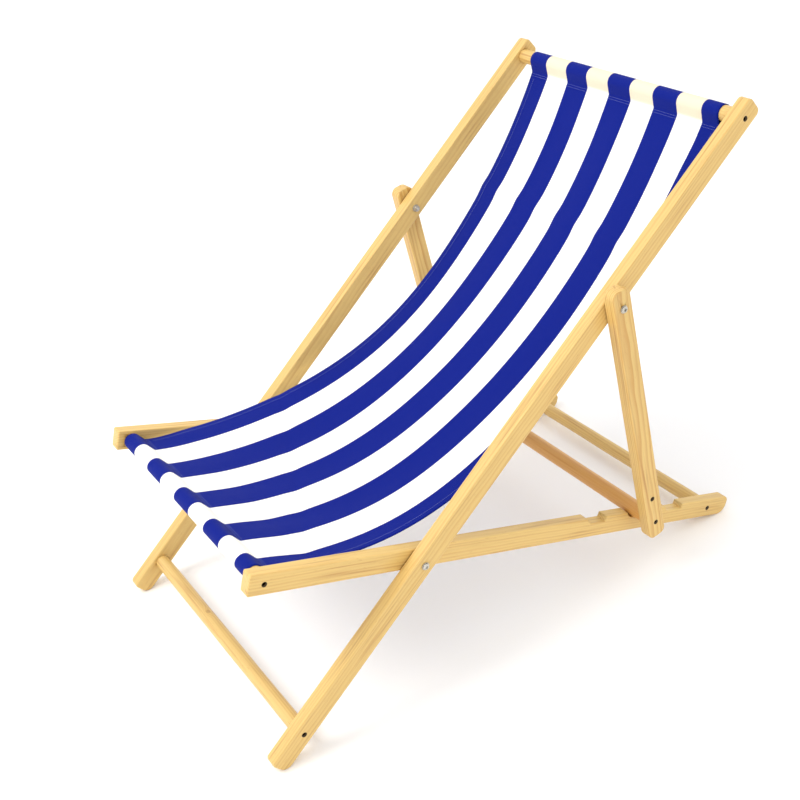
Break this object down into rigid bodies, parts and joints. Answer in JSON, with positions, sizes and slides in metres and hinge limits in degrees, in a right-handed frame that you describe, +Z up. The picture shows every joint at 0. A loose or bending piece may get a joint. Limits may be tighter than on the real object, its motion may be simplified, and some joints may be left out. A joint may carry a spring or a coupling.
{
  "type": "folding deckchair",
  "caption": "Folding garden deckchair of pale pine rails and round dowels, with a notched reclining strut and a striped canvas sling seat.",
  "frame": {"origin": "on the floor, under the middle of the chair's box", "axes": "+Z up, +Y towards the rear where the back leans, +X towards the chair's side that faces a viewer who stands at its right front"},
  "size_m": [0.6172, 0.9832, 0.7972],
  "materials": {
    "pine": "planed, clear lacquer",
    "brown_pine": "planed, clear lacquer",
    "canvas": "woven, blue and white stripes",
    "steel": "zinc plated"
  },
  "bodies": {
    "back_frame": {"long_rail_left": "pine", "long_rail_right": "pine", "top_dowel": "pine", "foot_dowel": "pine", "top_screw_left": "steel", "top_screw_right": "steel", "foot_screw_left": "steel", "foot_screw_right": "steel", "main_pivot_bolt_left": "steel", "main_pivot_head_washer_left": "steel", "main_pivot_spacer_washer_left": "steel", "main_pivot_nut_washer_left": "steel", "main_pivot_nut_left": "steel", "main_pivot_bolt_right": "steel", "main_pivot_head_washer_right": "steel", "main_pivot_spacer_washer_right": "steel", "main_pivot_nut_washer_right": "steel", "main_pivot_nut_right": "steel", "strut_pivot_bolt_left": "steel", "strut_pivot_head_washer_left": "steel", "strut_pivot_spacer_washer_left": "steel", "strut_pivot_nut_washer_left": "steel", "strut_pivot_nut_left": "steel", "strut_pivot_bolt_right": "steel", "strut_pivot_head_washer_right": "steel", "strut_pivot_spacer_washer_right": "steel", "strut_pivot_nut_washer_right": "steel", "strut_pivot_nut_right": "steel", "sling": "canvas"},
    "seat_frame": {"seat_rail_left": "pine", "seat_rail_right": "pine", "front_dowel": "pine", "rear_dowel": "pine", "front_screw_left": "steel", "front_screw_right": "steel", "rear_screw_left": "steel", "rear_screw_right": "steel"},
    "strut_frame": {"strut_leg_left": "pine", "strut_leg_right": "pine", "crossbar": "brown_pine", "crossbar_screw_left": "steel", "crossbar_screw_right": "steel"}
  },
  "joints": [
    {"name": "seat_hinge", "type": "hinge", "parent": "back_frame", "child": "seat_frame", "pos_m": [0, -0.1878, 0.24603], "axis": [1, 0, 0], "range_deg": [-32, 0], "deforming": ["sling"]},
    {"name": "strut_hinge", "type": "hinge", "parent": "back_frame", "child": "strut_frame", "pos_m": [0, 0.1933, 0.55244], "axis": [1, 0, 0], "range_deg": [0, 119]}
  ]
}
